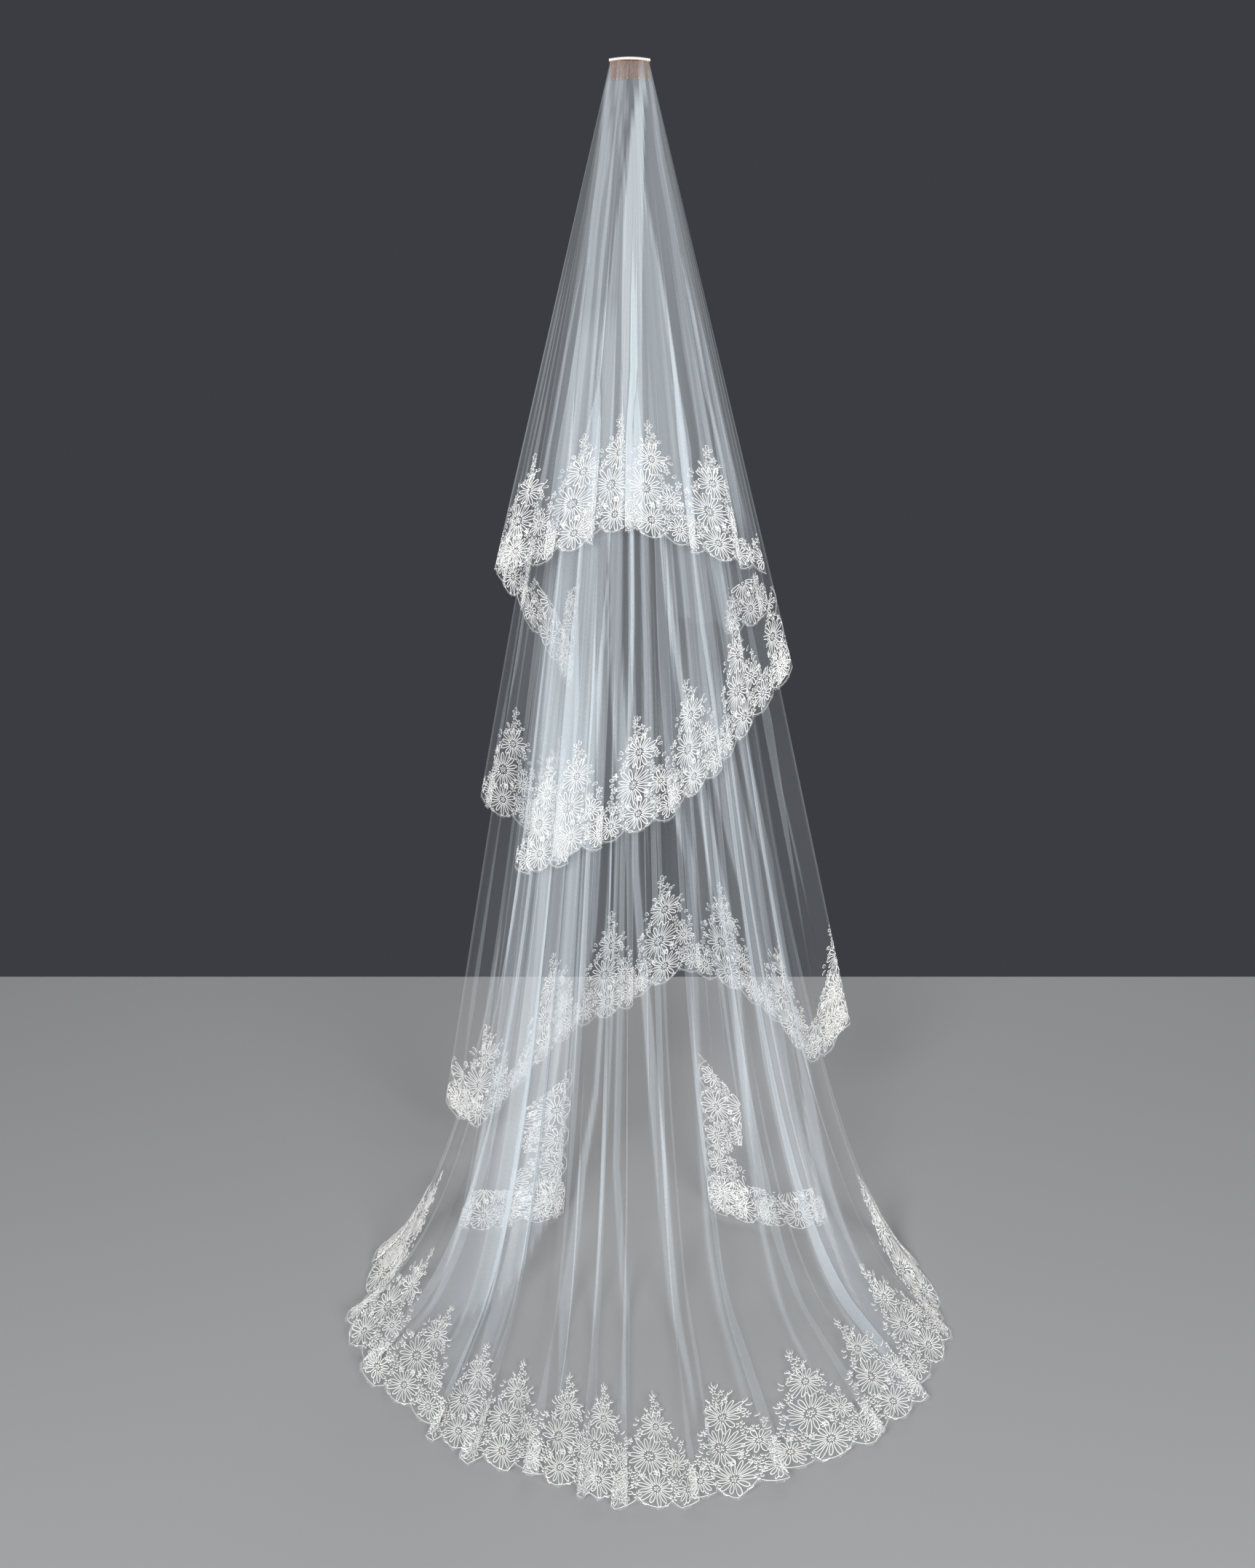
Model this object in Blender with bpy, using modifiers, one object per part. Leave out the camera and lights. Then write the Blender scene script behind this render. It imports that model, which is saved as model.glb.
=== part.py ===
"""A layered bridal veil on a wire hair comb, hanging from the comb to a train on the floor.

Units are metres and +Z is up. The origin is the middle of the comb's spine, where hair holds it.
The wearer is on the +Y side. Every layer of net is sewn to the comb, fans down towards -Y and ends
in a border of corded lace. Places along a hem are counted in repeats of the lace, from the left.
"""
import math

import bmesh
import bpy
from mathutils import Vector

# Net and lace
NET_WALL = 0.0012
LACE_WALL = 0.0018
PARTED = 0.0005           # between the net and the lace that lies on it
LAYER_STEP = 0.0015       # between the middles of two layers where they are sewn to the comb
TOP_DROP = 0.0045         # from the spine down to the sewn edge of each layer
LAYER_CLEAR = 0.0002      # how much further the innermost layers stand from the teeth
COLUMNS_PER_REPEAT = 6
SCALLOP = 0.007           # depth of the scallops along the hem
SCALLOPS_PER_REPEAT = 3
BAND = 0.065              # height of the border between two peaks
PEAK = 0.225              # height of the border at a peak
PLEAT_SKEW = 0.75         # under 1, a pleat rises faster than it falls
ROUNDING = 0.6            # how much less a layer leans at its sides than at its middle
PLACE_REACH = 0.1         # repeats to each side, and metres up and down the cloth, over which
DOWN_REACH = 0.02         # the cloth's outward direction is measured

# Floor and train
FLOOR_DROP = 2.1
KNEE_DROP = 2.07          # where a hanging layer would meet the floor if it stayed straight
SWEEP_FROM = 0.64         # share of the hanging length where the sweep to the floor begins
SWEEP_RUN = 0.30          # how far past the knee the sweep ends
FULL_PLEAT_AT = 1.0       # distance from the comb where pleats reach their whole depth
FALL_HEM_CLEAR = 0.004    # the train's side falls end this far above the floor

# Comb
COMB_HALF = 0.039
COMB_ARCH = 0.0018
SPINE_STEPS = 12
SPINE_RADIUS = 0.0011
TOOTH_COUNT = 20
TOOTH_REACH = 0.97        # share of the spine that the teeth spread over
TOOTH_LENGTH = 0.037
TOOTH_WIRE = 0.00048
TOOTH_HALF_WIDTH = 0.00105
TIP_STEPS = 3
TOOTH_LEAN = 0.32         # how far the teeth go towards -Y for each metre down
BINDING_INNER = 0.0015
BINDING_OUTER = 0.0023
BINDING_BUMP = 0.0004
BINDING_STEPS = 32        # along the spine, every other one standing out by the bump
BINDING_SIDES = 5
BINDING_FROM = -28        # degrees round the spine from +Y, leaving the underside open
BINDING_TO = 208
SEWN_HALF = 0.036         # half the length of the comb that the net is sewn to

NET_COLOUR = (0.80, 0.84, 0.88)
LACE_COLOUR = (0.90, 0.89, 0.85)
COPPER_COLOUR = (0.72, 0.43, 0.24)
THREAD_COLOUR = (0.93, 0.93, 0.91)

# Pleats, as counts of columns from one pleat's foot to the next, used in turn along a layer
PLEAT_SPANS = (4, 5, 4, 6, 4, 5)
PLEAT_HEIGHTS = (0.8, 1.0, 0.7, 0.95, 0.75)
EDGE_COLUMNS = 9          # columns over which pleats grow from a layer's side edges

# Hems that hang clear of the floor. Columns: lace repeat, across, drop below the comb
TIER_ONE_HEM = (
    (0.00, -0.257, 0.896), (0.35, -0.221, 0.892), (0.90, -0.161, 0.877), (1.35, -0.109, 0.856),
    (2.35, -0.029, 0.822), (2.85, 0.005, 0.818), (3.35, 0.043, 0.832), (3.85, 0.103, 0.852),
    (4.35, 0.172, 0.876), (5.00, 0.260, 0.905),
)
TIER_ONE_LEFT_HEM = (
    (0.0, -0.267, 0.934), (0.5, -0.235, 0.971), (1.0, -0.201, 1.010), (2.0, -0.115, 1.150),
)
TIER_ONE_RIGHT_HEM = (
    (0.0, 0.080, 1.005), (0.5, 0.135, 1.022), (1.0, 0.205, 1.045), (2.0, 0.278, 1.010),
)
TIER_TWO_HEM = (
    (0.0, -0.221, 1.437), (0.5, -0.174, 1.430), (1.5, -0.114, 1.398), (2.0, -0.048, 1.381),
    (2.5, 0.017, 1.354), (3.0, 0.081, 1.325), (3.5, 0.124, 1.291), (4.0, 0.179, 1.242),
    (4.5, 0.221, 1.191), (5.3, 0.315, 1.087),
)
TIER_TWO_LEFT_HEM = (
    (0.0, -0.301, 1.379), (0.5, -0.258, 1.403), (1.0, -0.211, 1.425), (2.0, -0.115, 1.480),
)
TIER_THREE_HEM = (
    (0.0, -0.385, 2.016), (0.5, -0.314, 2.050), (1.2, -0.214, 1.941), (1.9, -0.122, 1.845),
    (2.6, -0.033, 1.800), (3.2, 0.033, 1.762), (3.8, 0.115, 1.718), (4.5, 0.205, 1.754),
    (5.2, 0.296, 1.828), (5.9, 0.384, 1.925), (6.5, 0.460, 1.856),
)

# Hems that reach the floor. Columns: lace repeat, across at the knee, across at the hem, and the
# hem's own Y
TRAIN_HEM = (
    (0.0, -0.315, -0.483, -0.814), (0.5, -0.300, -0.487, -0.930), (1.5, -0.270, -0.494, -1.090),
    (2.5, -0.235, -0.396, -1.244), (3.5, -0.190, -0.288, -1.350), (4.5, -0.140, -0.212, -1.390),
    (5.5, -0.085, -0.114, -1.428), (6.5, -0.030, -0.051, -1.460), (7.5, 0.030, 0.043, -1.474),
    (8.5, 0.100, 0.172, -1.447), (9.5, 0.180, 0.339, -1.365), (10.5, 0.260, 0.457, -1.280),
    (11.5, 0.330, 0.546, -1.128), (12.5, 0.385, 0.565, -0.975), (13.0, 0.400, 0.520, -0.810),
)
TRAIN_LEFT_HEM = (
    (0.0, -0.310, -0.335, -0.765), (0.5, -0.268, -0.287, -0.770), (1.0, -0.226, -0.242, -0.765),
    (1.5, -0.166, -0.176, -0.745), (2.0, -0.124, -0.130, -0.728),
)
TRAIN_RIGHT_HEM = (
    (0.0, 0.150, 0.158, -0.710), (0.5, 0.212, 0.225, -0.745), (1.0, 0.258, 0.276, -0.765),
    (1.5, 0.312, 0.335, -0.765), (2.0, 0.362, 0.390, -0.750),
)

# Layers, from the -Y side to the wearer's. Columns: name, hem, on the floor, layer counted from
# the comb's teeth (negative on their -Y side), lean, first and last place on the comb as shares of
# half its sewn length, lace repeat of the first peak, pleat depth
LAYERS = (
    ("tier_one", TIER_ONE_HEM, False, -3, 0.42, -1.0, 1.0, 0.35, 0.012),
    ("tier_two", TIER_TWO_HEM, False, -2, 0.39, -1.0, 1.0, 0.50, 0.012),
    ("train", TRAIN_HEM, True, -1, 0.36, -1.0, 1.0, 0.50, 0.014),
    ("train_left_fall", TRAIN_LEFT_HEM, True, 1, 0.31, -1.0, -0.1, 1.50, 0.010),
    ("train_right_fall", TRAIN_RIGHT_HEM, True, 1, 0.31, 0.1, 1.0, 0.50, 0.010),
    ("tier_one_left_fall", TIER_ONE_LEFT_HEM, False, 2, 0.29, -1.0, -0.1, 1.50, 0.008),
    ("tier_one_right_fall", TIER_ONE_RIGHT_HEM, False, 2, 0.29, 0.1, 1.0, 0.50, 0.008),
    ("tier_two_left_fall", TIER_TWO_LEFT_HEM, False, 3, 0.27, -1.0, -0.1, 0.50, 0.008),
    ("tier_three", TIER_THREE_HEM, False, 4, 0.25, -1.0, 1.0, 0.50, 0.012),
)
NET_ROWS = (0.0, 0.12, 0.35, 0.66, 1.0)
TRAIN_NET_ROWS = (0.0, 0.15, 0.32, 0.46, 0.54, 0.61, 0.68, 0.75, 0.83, 0.91, 1.0)
LACE_ROWS = (0.45, 1.0)     # below the lace's upper edge, as shares of its height
SWEEP_POINTS = 14


def material(name, colour, roughness, metallic=0.0):
    made = bpy.data.materials.new(name)
    made.use_nodes = True
    shader = made.node_tree.nodes["Principled BSDF"]
    shader.inputs["Base Color"].default_value = (*colour, 1.0)
    shader.inputs["Roughness"].default_value = roughness
    shader.inputs["Metallic"].default_value = metallic
    return made


def between(rows, place):
    """The row of a hem table at a place between its rows, on a smooth curve through them."""
    last = len(rows) - 2
    index = min(last, max(0, sum(row[0] <= place for row in rows) - 1))
    low, high = rows[index], rows[index + 1]
    before, after = rows[max(0, index - 1)], rows[min(len(rows) - 1, index + 2)]
    span = high[0] - low[0]
    share = (place - low[0]) / span
    found = []
    for column in range(1, len(low)):
        slope_low = (high[column] - before[column]) / (high[0] - before[0]) * span
        slope_high = (after[column] - low[column]) / (after[0] - low[0]) * span
        rise = high[column] - low[column]
        bend = slope_low + slope_high - 2 * rise
        turn = 3 * rise - 2 * slope_low - slope_high
        found.append(low[column] + share * (slope_low + share * (turn + share * bend)))
    return found


def smoothstep(share):
    share = min(1.0, max(0.0, share))
    return share * share * (3 - 2 * share)


class Layer:
    """One layer of net from its sewn edge on the comb to its hem, and the border of lace on it."""

    def __init__(self, name, hem, on_floor, level, lean, comb_from, comb_to, first_peak, pleat_depth):
        self.name = name
        self.hem = hem
        self.on_floor = on_floor
        self.level = level * LAYER_STEP + math.copysign(LAYER_CLEAR, level) - TOOTH_LEAN * TOP_DROP
        self.lean = lean
        self.comb_from = comb_from * SEWN_HALF
        self.comb_to = comb_to * SEWN_HALF
        self.first_peak = first_peak
        self.pleat_depth = pleat_depth
        self.repeats = hem[-1][0]
        self.count = round(self.repeats * COLUMNS_PER_REPEAT)
        self.net_rows = TRAIN_NET_ROWS if name == "train" else NET_ROWS
        self.hem_clear = 0.0 if name == "train" else FALL_HEM_CLEAR
        self.paths = {}

    def forward(self, across, drop):
        return self.level - drop * (self.lean - ROUNDING * (across / drop) ** 2)

    def path(self, place):
        """Points down the cloth at one place along the hem, from the comb to the hem."""
        if place in self.paths:
            return self.paths[place]
        share = place / self.repeats
        top = Vector((self.comb_from + share * (self.comb_to - self.comb_from), self.level, -TOP_DROP))
        if not self.on_floor:
            across, drop = between(self.hem, place)
            points = [top, Vector((across, self.forward(across, drop), -drop))]
        else:
            knee_across, across, forward = between(self.hem, place)
            knee = Vector((knee_across, self.forward(knee_across, KNEE_DROP), -KNEE_DROP))
            end = Vector((across, forward, -FLOOR_DROP + NET_WALL / 2 + self.hem_clear))
            run = end - knee
            begin = top.lerp(knee, SWEEP_FROM)
            landed = knee + run * min(1.0, SWEEP_RUN / run.length)
            landed.z = end.z
            points = [top]
            for step in range(SWEEP_POINTS + 1):
                part = step / SWEEP_POINTS
                points.append(begin.lerp(knee, part).lerp(knee.lerp(landed, part), part))
            points.append(end)
        self.paths[place] = points
        return points

    def length(self, place):
        points = self.path(place)
        return sum((b - a).length for a, b in zip(points, points[1:]))

    def on_path(self, place, distance):
        """The point at a distance from the comb down the cloth, before pleats."""
        points = self.path(place)
        for a, b in zip(points, points[1:]):
            step = (b - a).length
            if distance <= step or b is points[-1]:
                return a.lerp(b, distance / step if step > 0 else 0.0)
            distance -= step

    def outward(self, place, distance):
        low, high = max(0.0, place - PLACE_REACH), min(self.repeats, place + PLACE_REACH)
        share_low, share_high = self.length(low), self.length(high)
        share = distance / self.length(place)
        across = self.on_path(high, share * share_high) - self.on_path(low, share * share_low)
        below = self.on_path(place, distance + DOWN_REACH)
        above = self.on_path(place, distance - DOWN_REACH)
        return (below - above).cross(across).normalized()

    def pleat(self, column):
        """How far a column stands out, from 0 at a pleat's foot to its height at the crest."""
        foot, index = 0, 0
        while foot + PLEAT_SPANS[index % len(PLEAT_SPANS)] <= column:
            foot += PLEAT_SPANS[index % len(PLEAT_SPANS)]
            index += 1
        share = (column - foot) / PLEAT_SPANS[index % len(PLEAT_SPANS)]
        from_edge = min(1.0, column / EDGE_COLUMNS, (self.count - column) / EDGE_COLUMNS)
        height = PLEAT_HEIGHTS[index % len(PLEAT_HEIGHTS)] * from_edge
        return height * math.sin(math.pi * share ** PLEAT_SKEW)

    def point(self, column, distance):
        place = column / COLUMNS_PER_REPEAT
        grown = smoothstep(distance / FULL_PLEAT_AT)
        rise = self.pleat_depth * grown * self.pleat(column)
        return self.on_path(place, distance) + self.outward(place, distance) * rise

    def border(self, column):
        """Height of the lace above the hem: a low band with a tapering peak in each repeat."""
        place = column / COLUMNS_PER_REPEAT - self.first_peak
        from_peak = abs(place - round(place)) * 2
        return BAND + (PEAK - BAND) * (1 - from_peak) ** 1.25

    def hem_lift(self, column):
        place = column / COLUMNS_PER_REPEAT - self.first_peak
        return SCALLOP * (0.5 - 0.5 * math.cos(2 * math.pi * SCALLOPS_PER_REPEAT * place))


def wall(name, grid, pattern, thickness, look, collection):
    """A closed wall on a grid of points: the open sheet with Solidify, half to each side.

    Rows run down the cloth and columns from left to right, so the faces point outwards. Each
    four-sided cell is split along its shorter diagonal in the pattern, a grid of the same shape,
    so that two walls made from the same points are split alike. Returns each point's outward
    direction, in the grid's own rows.
    """
    sheet = bmesh.new()
    rows = [[sheet.verts.new(p) for p in row] for row in grid]
    for i in range(len(rows) - 1):
        for j in range(len(rows[i]) - 1):
            a, b, c, d = rows[i][j], rows[i][j + 1], rows[i + 1][j + 1], rows[i + 1][j]
            falling = (pattern[i][j] - pattern[i + 1][j + 1]).length
            rising = (pattern[i][j + 1] - pattern[i + 1][j]).length
            corners = ((a, d, c), (a, c, b)) if falling < rising else ((a, d, b), (b, d, c))
            for three in corners:
                sheet.faces.new(three)
    sheet.normal_update()
    outward = [[vert.normal.copy() for vert in row] for row in rows]
    mesh = bpy.data.meshes.new(name)
    sheet.to_mesh(mesh)
    sheet.free()
    made = bpy.data.objects.new(name, mesh)
    mesh.materials.append(look)
    collection.objects.link(made)
    solid = made.modifiers.new("wall", "SOLIDIFY")
    solid.thickness = thickness
    solid.offset = 0.0
    return outward


def make_layer(layer, net, lace, collection):
    """The net from the comb to the hem, and the lace made from its lowest rows, moved out."""
    columns = range(layer.count + 1)
    tops, ends = {}, {}
    for c in columns:
        length = layer.length(c / COLUMNS_PER_REPEAT)
        tops[c] = length - layer.border(c)
        ends[c] = length - layer.hem_lift(c)
    grid = [[layer.point(c, share * tops[c]) for c in columns] for share in layer.net_rows]
    for share in LACE_ROWS:
        grid.append([layer.point(c, tops[c] + share * (ends[c] - tops[c])) for c in columns])
    outward = wall(layer.name + "_net", grid, grid, NET_WALL, net, collection)
    out = NET_WALL / 2 + PARTED + LACE_WALL / 2
    first = len(layer.net_rows) - 1
    raised = []
    for points, directions in zip(grid[first:], outward[first:]):
        raised.append([p + direction * out for p, direction in zip(points, directions)])
    wall(layer.name + "_lace", raised, grid[first:], LACE_WALL, lace, collection)


def spine_point(share):
    """A point on the spine's arched centre line, share from -1 at the left to 1 at the right."""
    return Vector((share * COMB_HALF, 0.0, -COMB_ARCH * share * share))


def tube(name, points, radius, sides_level):
    """A wire as a POLY curve with filled caps, made a mesh with its caps welded."""
    curve = bpy.data.curves.new(name, "CURVE")
    curve.dimensions = "3D"
    curve.bevel_depth = radius
    curve.bevel_resolution = sides_level
    curve.use_fill_caps = True
    spline = curve.splines.new("POLY")
    spline.points.add(len(points) - 1)
    for slot, point in zip(spline.points, points):
        slot.co = (*point, 1.0)
    holder = bpy.data.objects.new(name, curve)
    bpy.context.scene.collection.objects.link(holder)
    graph = bpy.context.evaluated_depsgraph_get()
    mesh = bpy.data.meshes.new_from_object(holder.evaluated_get(graph))
    bpy.data.objects.remove(holder, do_unlink=True)
    bpy.data.curves.remove(curve)
    welded = bmesh.new()
    welded.from_mesh(mesh)
    bmesh.ops.remove_doubles(welded, verts=welded.verts[:], dist=0.00001)
    bmesh.ops.recalc_face_normals(welded, faces=welded.faces[:])
    welded.to_mesh(mesh)
    welded.free()
    return bpy.data.objects.new(name, mesh)


def tooth_points(share):
    """One tooth: the wire goes down, turns round the tip and comes back up beside itself."""
    root = spine_point(share)
    down = Vector((0.0, -TOOTH_LEAN, -1.0)).normalized()
    side = Vector((1.0, 0.0, 0.0))
    tip = root + down * (TOOTH_LENGTH - TOOTH_HALF_WIDTH)
    turn = []
    for step in range(TIP_STEPS + 1):
        angle = math.pi * step / TIP_STEPS
        sideways = -side * TOOTH_HALF_WIDTH * math.cos(angle)
        turn.append(tip + sideways + down * TOOTH_HALF_WIDTH * math.sin(angle))
    return [root - side * TOOTH_HALF_WIDTH, *turn, root + side * TOOTH_HALF_WIDTH]


def make_comb(copper, collection, cutters):
    """The spine with every tooth joined to it."""
    spine = [spine_point(2 * step / SPINE_STEPS - 1) for step in range(SPINE_STEPS + 1)]
    comb = tube("comb", spine, SPINE_RADIUS, 2)
    comb.data.materials.append(copper)
    collection.objects.link(comb)
    for number in range(TOOTH_COUNT):
        share = (2 * (number + 0.5) / TOOTH_COUNT - 1) * TOOTH_REACH
        tooth = tube(f"tooth_{number + 1:02d}", tooth_points(share), TOOTH_WIRE, 1)
        tooth.data.materials.append(copper)
        cutters.objects.link(tooth)
        tooth.hide_render = True
        tooth.display_type = "WIRE"
        join = comb.modifiers.new(tooth.name, "BOOLEAN")
        join.operation = "UNION"
        join.solver = "EXACT"
        join.object = tooth


def make_binding(thread, collection):
    """The thread wound over the spine, open underneath where the teeth come out."""
    rings = []
    for step in range(BINDING_STEPS + 1):
        middle = spine_point(2 * step / BINDING_STEPS - 1)
        bump = BINDING_BUMP * (step % 2)
        ring = []
        for radius in (BINDING_INNER, BINDING_OUTER + bump):
            arc = []
            for side in range(BINDING_SIDES + 1):
                turned = BINDING_FROM + (BINDING_TO - BINDING_FROM) * side / BINDING_SIDES
                angle = math.radians(turned)
                arc.append(middle + Vector((0.0, math.cos(angle), math.sin(angle))) * radius)
            ring += arc if radius == BINDING_INNER else arc[::-1]
        rings.append(ring)
    shell = bmesh.new()
    made = [[shell.verts.new(p) for p in ring] for ring in rings]
    for left, right in zip(made, made[1:]):
        for index in range(len(left)):
            after = (index + 1) % len(left)
            shell.faces.new((left[index], right[index], right[after], left[after]))
    for ring in (made[0], made[-1]):
        last = len(ring) - 1
        for side in range(BINDING_SIDES):
            outer = last - side
            shell.faces.new((ring[side], ring[side + 1], ring[outer - 1], ring[outer]))
    bmesh.ops.recalc_face_normals(shell, faces=shell.faces[:])
    mesh = bpy.data.meshes.new("comb_binding")
    shell.to_mesh(mesh)
    shell.free()
    mesh.materials.append(thread)
    collection.objects.link(bpy.data.objects.new("comb_binding", mesh))


for old in list(bpy.data.objects):
    bpy.data.objects.remove(old, do_unlink=True)
veil = bpy.data.collections.new("veil")
cutters = bpy.data.collections.new("cutters")
bpy.context.scene.collection.children.link(veil)
bpy.context.scene.collection.children.link(cutters)

make_comb(material("copper wire", COPPER_COLOUR, 0.25, 1.0), veil, cutters)
make_binding(material("wound thread", THREAD_COLOUR, 0.7), veil)
for row in LAYERS:
    net_look = material(row[0] + " nylon net", NET_COLOUR, 0.6)
    lace_look = material(row[0] + " corded lace", LACE_COLOUR, 0.8)
    make_layer(Layer(*row), net_look, lace_look, veil)
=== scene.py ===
"""Looks of a layered bridal veil: wire comb, wound thread, tulle and corded lace."""
import math

import bmesh
import bpy
import numpy as np
from mathutils import Matrix, Vector


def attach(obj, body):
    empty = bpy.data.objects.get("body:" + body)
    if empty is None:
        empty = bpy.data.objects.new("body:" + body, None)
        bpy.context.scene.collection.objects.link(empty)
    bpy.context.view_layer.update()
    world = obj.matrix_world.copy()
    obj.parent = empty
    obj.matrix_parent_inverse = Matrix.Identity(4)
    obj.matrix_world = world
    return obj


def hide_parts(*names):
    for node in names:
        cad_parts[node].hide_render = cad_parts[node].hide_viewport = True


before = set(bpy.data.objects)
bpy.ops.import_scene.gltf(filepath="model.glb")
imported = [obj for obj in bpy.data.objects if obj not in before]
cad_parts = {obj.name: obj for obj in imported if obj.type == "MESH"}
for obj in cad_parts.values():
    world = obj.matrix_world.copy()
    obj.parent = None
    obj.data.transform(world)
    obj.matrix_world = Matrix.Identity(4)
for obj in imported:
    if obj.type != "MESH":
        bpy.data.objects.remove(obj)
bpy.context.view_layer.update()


# ==== Comb ====
# One copper-coloured spring wire, bent into twenty narrow hairpin teeth and wound round a straight
# spine. It slides into the hair and carries every layer of net.

COMB_HALF = 0.039
COMB_ARCH = 0.0034
TOOTH_COUNT = 20
TOOTH_REACH = 0.97
TOOTH_LENGTH = 0.037
TOOTH_WIRE = 0.00058
TOOTH_HALF_WIDTH = 0.00105
TOOTH_LEAN = 0.32
TOOTH_STRAY = 0.0011
COIL_RADIUS = 0.0019
COIL_DROP = 0.0034
COIL_HANG = 0.0016
COIL_BACK = 0.0006
COIL_TURNS = 26
COIL_STEPS = 12
SPINE_END = 1.03            # the spine runs a little past its last tooth
COPPER = "#8E4F22"
COPPER_BRIGHT = "#DDA468"


def linear(hex_colour):
    """An sRGB hex colour as the linear values that Blender's sockets take."""
    parts = [int(hex_colour[i:i + 2], 16) / 255 for i in (1, 3, 5)]
    return (*[p / 12.92 if p <= 0.04045 else ((p + 0.055) / 1.055) ** 2.4 for p in parts], 1.0)


def add(tree, kind, **values):
    """A node of a kind with its inputs and settings given by name."""
    node = tree.nodes.new(kind)
    for name, value in values.items():
        if hasattr(node, name):
            setattr(node, name, value)
        else:
            node.inputs[name.replace("_", " ")].default_value = value
    return node


def spine_point(share):
    return Vector((share * COMB_HALF, 0.0, -COMB_ARCH * share * share))


def wire(name, strands, radius, sides_level):
    """Bent wires of one radius as a single mesh, from curves with filled caps."""
    curve = bpy.data.curves.new(name, "CURVE")
    curve.dimensions = "3D"
    curve.bevel_depth = radius
    curve.bevel_resolution = sides_level
    curve.use_fill_caps = True
    for points in strands:
        spline = curve.splines.new("POLY")
        spline.points.add(len(points) - 1)
        for slot, point in zip(spline.points, points):
            slot.co = (*point, 1.0)
    holder = bpy.data.objects.new(name, curve)
    bpy.context.scene.collection.objects.link(holder)
    graph = bpy.context.evaluated_depsgraph_get()
    mesh = bpy.data.meshes.new_from_object(holder.evaluated_get(graph))
    bpy.data.objects.remove(holder, do_unlink=True)
    mesh.name = name
    mesh.shade_smooth()
    made = bpy.data.objects.new(name, mesh)
    bpy.context.scene.collection.objects.link(made)
    return made


def tooth(share):
    root = spine_point(share)
    down = Vector((0.0, -TOOTH_LEAN, -1.0)).normalized()
    side = Vector((1.0, 0.0, 0.0))
    # bent by hand, the teeth stray a little sideways and stand in loose groups
    stray = side * TOOTH_STRAY * math.sin(37.0 * share)
    tip = root + stray + down * (TOOTH_LENGTH - TOOTH_HALF_WIDTH)
    points = [root - side * TOOTH_HALF_WIDTH]
    points.append(root.lerp(tip, 0.5) - side * TOOTH_HALF_WIDTH * 0.8)
    for step in range(11):
        angle = math.pi * step / 10
        points.append(
            tip - side * TOOTH_HALF_WIDTH * math.cos(angle)
            + down * TOOTH_HALF_WIDTH * math.sin(angle)
        )
    points.append(root.lerp(tip, 0.5) + side * TOOTH_HALF_WIDTH * 0.8)
    points.append(root + side * TOOTH_HALF_WIDTH)
    return points


strands = [tooth((2 * (n + 0.5) / TOOTH_COUNT - 1) * TOOTH_REACH) for n in range(TOOTH_COUNT)]
# the wire's turns round the spine, which hang as a row of small loops under the thread
coil = []
for step in range(COIL_TURNS * COIL_STEPS + 1):
    turned = 2 * math.pi * step / COIL_STEPS
    middle = spine_point(TOOTH_REACH * (2 * step / (COIL_TURNS * COIL_STEPS) - 1))
    hang = COIL_HANG + COIL_DROP / 2 * (1 - math.cos(turned))
    coil.append(middle + Vector((0.0, COIL_RADIUS * math.sin(turned) - COIL_BACK, -hang)))
strands.append(coil)
strands.append([spine_point(-1.0 + (1.0 + SPINE_END) * step / 24) for step in range(25)])
comb = wire("comb_wire", strands, TOOTH_WIRE, 3)

copper_wire = bpy.data.materials.new("bright copper-coloured spring wire")
copper_wire.use_nodes = True
tree = copper_wire.node_tree
shader = tree.nodes["Principled BSDF"]
# polished wire, a little darker and rougher where lacquer has worn
shader.inputs["Metallic"].default_value = 1.0
place = add(tree, "ShaderNodeTexCoord")
worn = add(tree, "ShaderNodeTexNoise", Scale=260.0, Detail=3.0)
tone = add(tree, "ShaderNodeMix", data_type="RGBA")
tone.inputs["A"].default_value = linear(COPPER)
tone.inputs["B"].default_value = linear(COPPER_BRIGHT)
shine = add(tree, "ShaderNodeMapRange", To_Min=0.2, To_Max=0.42)
tree.links.new(place.outputs["Object"], worn.inputs["Vector"])
tree.links.new(worn.outputs["Fac"], tone.inputs["Factor"])
tree.links.new(tone.outputs["Result"], shader.inputs["Base Color"])
tree.links.new(worn.outputs["Fac"], shine.inputs["Value"])
tree.links.new(shine.outputs["Result"], shader.inputs["Roughness"])
comb.data.materials.append(copper_wire)
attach(comb, "root")
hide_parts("comb")


# ==== Binding ====
# White thread wound over the spine between the teeth, a few turns at a time, so that it stands in a
# row of small beads. It holds the gathered net to the comb.

BEADS = 20
BEAD_RINGS = 10
BEAD_LOW = 0.0019
BEAD_HIGH = 0.0029
TURN_DEPTH = 0.00012
TURNS_PER_BEAD = 5
BEAD_FULLNESS = 0.6         # below 1 the beads are blunter than a sine
RING_SIDES = 20
THREAD = "#F7F7F5"

beaded = bmesh.new()
bmesh.ops.create_cone(
    beaded, cap_ends=True, segments=RING_SIDES, radius1=1.0, radius2=1.0, depth=2.0,
    matrix=Matrix.Rotation(math.pi / 2, 4, "Y"),
)
lengthwise = [edge for edge in beaded.edges if abs(edge.verts[0].co.x - edge.verts[1].co.x) > 1.0]
bmesh.ops.subdivide_edges(beaded, edges=lengthwise, cuts=BEADS * BEAD_RINGS - 1)
for vert in beaded.verts:
    share = vert.co.x
    along = (share + 1) / 2 * BEADS
    swell = abs(math.sin(math.pi * along)) ** BEAD_FULLNESS
    turns = TURN_DEPTH * math.cos(2 * math.pi * TURNS_PER_BEAD * along)
    radius = BEAD_LOW + (BEAD_HIGH - BEAD_LOW) * swell + turns
    middle = spine_point(share)
    vert.co = middle + Vector((0.0, vert.co.y, vert.co.z)) * radius
mesh = bpy.data.meshes.new("binding_thread")
beaded.to_mesh(mesh)
beaded.free()
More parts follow.
